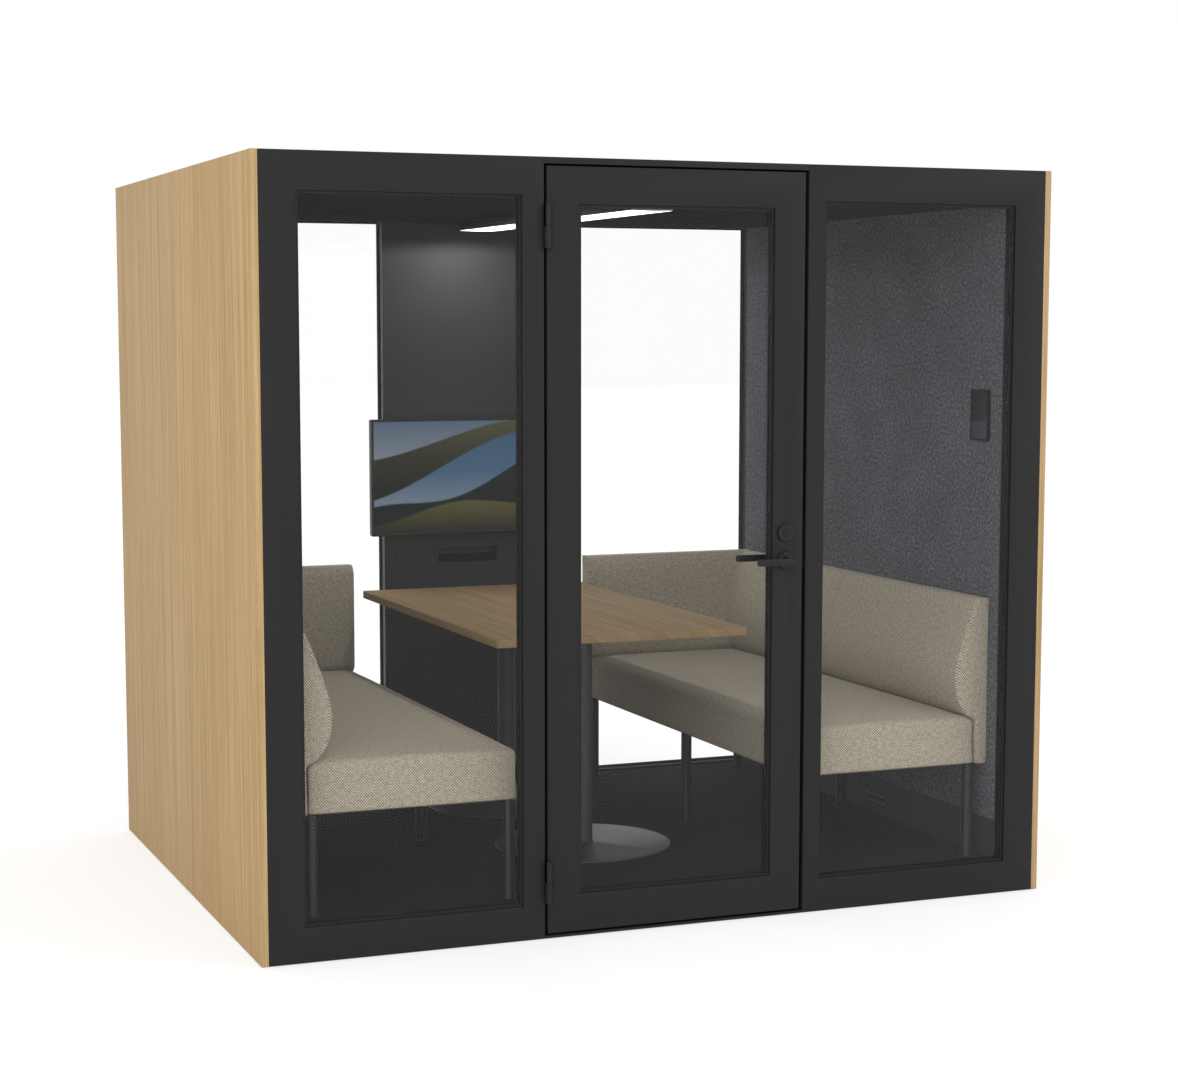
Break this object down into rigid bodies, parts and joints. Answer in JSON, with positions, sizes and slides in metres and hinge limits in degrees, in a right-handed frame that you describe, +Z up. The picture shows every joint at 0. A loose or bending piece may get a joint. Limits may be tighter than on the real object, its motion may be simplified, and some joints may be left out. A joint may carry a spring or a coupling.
{
  "type": "acoustic office pod",
  "caption": "Free-standing acoustic meeting pod: glazed front with hinged door, oak side walls, two facing upholstered corner sofas, table, wall display, ceiling light and roof fans.",
  "frame": {"origin": "on the ground under the middle of the overall box", "axes": "+X to the right along the glazed front, +Y from the front to the back, +Z up"},
  "size_m": [2.565, 2.047, 2.3],
  "materials": {
    "oak": "satin lacquered oak veneer",
    "table_oak": "satin lacquered oak veneer",
    "charcoal_paint": "fine matt powder coat",
    "charcoal_board": "matt painted board",
    "black_metal": "satin black coating",
    "black_rubber": "matt",
    "clear_glass": "polished, clear",
    "grey_felt": "heathered felt",
    "tweed": "woven upholstery",
    "carpet": "low loop pile",
    "light_cover": "opal, lit",
    "black_plastic": "fine texture",
    "screen": "lit screen",
    "steel": "satin"
  },
  "bodies": {
    "pod": {"side_panel_left": "oak", "wall_left": "charcoal_board", "felt_left": "grey_felt", "front_frame_left": "charcoal_paint", "front_glass_left": "clear_glass", "back_glass_left": "clear_glass", "front_gasket_left": "black_rubber", "seat_left": "tweed", "back_front_left": "tweed", "back_rear_left": "tweed", "wing_left": "tweed", "bench_left": "black_metal", "side_panel_right": "oak", "wall_right": "charcoal_board", "felt_right": "grey_felt", "front_frame_right": "charcoal_paint", "front_glass_right": "clear_glass", "back_glass_right": "clear_glass", "front_gasket_right": "black_rubber", "seat_right": "tweed", "back_front_right": "tweed", "back_rear_right": "tweed", "wing_right": "tweed", "bench_right": "black_metal", "base": "charcoal_board", "ceiling": "charcoal_board", "roof": "charcoal_board", "back_panel": "charcoal_board", "carpet": "carpet", "light_housing": "black_metal", "hinge_upper_frame": "black_metal", "hinge_lower_frame": "black_metal", "light_diffuser": "light_cover", "front_head": "charcoal_paint", "front_sill": "charcoal_paint", "back_frame": "charcoal_paint", "pedestal_front": "charcoal_paint", "pedestal_rear": "charcoal_paint", "door_seal": "black_rubber", "strike_plate": "steel", "table_top": "table_oak", "display_case": "black_plastic", "media_port": "black_plastic", "control_panel": "black_plastic", "display_screen": "screen"},
    "door": {"door_leaf": "charcoal_paint", "door_glass": "clear_glass", "door_gasket": "black_rubber", "hinge_upper_door": "black_metal", "hinge_lower_door": "black_metal", "lock_case": "steel", "lever_rose": "black_metal", "lock_rose": "black_metal", "inner_lock_plate": "black_metal"},
    "lever": {"lever": "black_metal"},
    "latch": {"latch": "steel"},
    "lock_turn": {"lock_turn": "black_metal"},
    "deadbolt": {"deadbolt": "steel"},
    "fan_left": {"fan_rotor_left": "black_plastic"},
    "fan_right": {"fan_rotor_right": "black_plastic"}
  },
  "joints": [
    {"name": "door_hinge", "type": "hinge", "parent": "pod", "child": "door", "pos_m": [-0.411, -0.9753, 1.146], "axis": [0, 0, -1], "range_deg": [0, 110]},
    {"name": "lever_turn", "type": "hinge", "parent": "door", "child": "lever", "pos_m": [0.363, -0.9425, 1.106], "axis": [0, -1, 0], "range_deg": [0, 45], "stiffness_Nm_per_rad": 2, "springref_deg": -34.38},
    {"name": "latch_slide", "type": "slide", "parent": "door", "child": "latch", "axis": [-1, 0, 0], "range_m": [0, 0.009]},
    {"name": "lock_turn_turn", "type": "hinge", "parent": "door", "child": "lock_turn", "pos_m": [0.363, -0.9425, 1.19], "axis": [0, 1, 0], "range_deg": [0, 90]},
    {"name": "deadbolt_slide", "type": "slide", "parent": "door", "child": "deadbolt", "axis": [1, 0, 0], "range_m": [0, 0.022]},
    {"name": "fan_left_spin", "type": "hinge", "parent": "pod", "child": "fan_left", "pos_m": [-0.62, 0.3285, 2.254], "axis": [0, 0, 1], "continuous": true},
    {"name": "fan_right_spin", "type": "hinge", "parent": "pod", "child": "fan_right", "pos_m": [0.62, 0.3285, 2.254], "axis": [0, 0, 1], "continuous": true}
  ],
  "couplings": [
    {"joint": "latch_slide", "follows": "lever_turn", "m_per_rad": 0.01145},
    {"joint": "deadbolt_slide", "follows": "lock_turn_turn", "m_per_rad": 0.014}
  ]
}
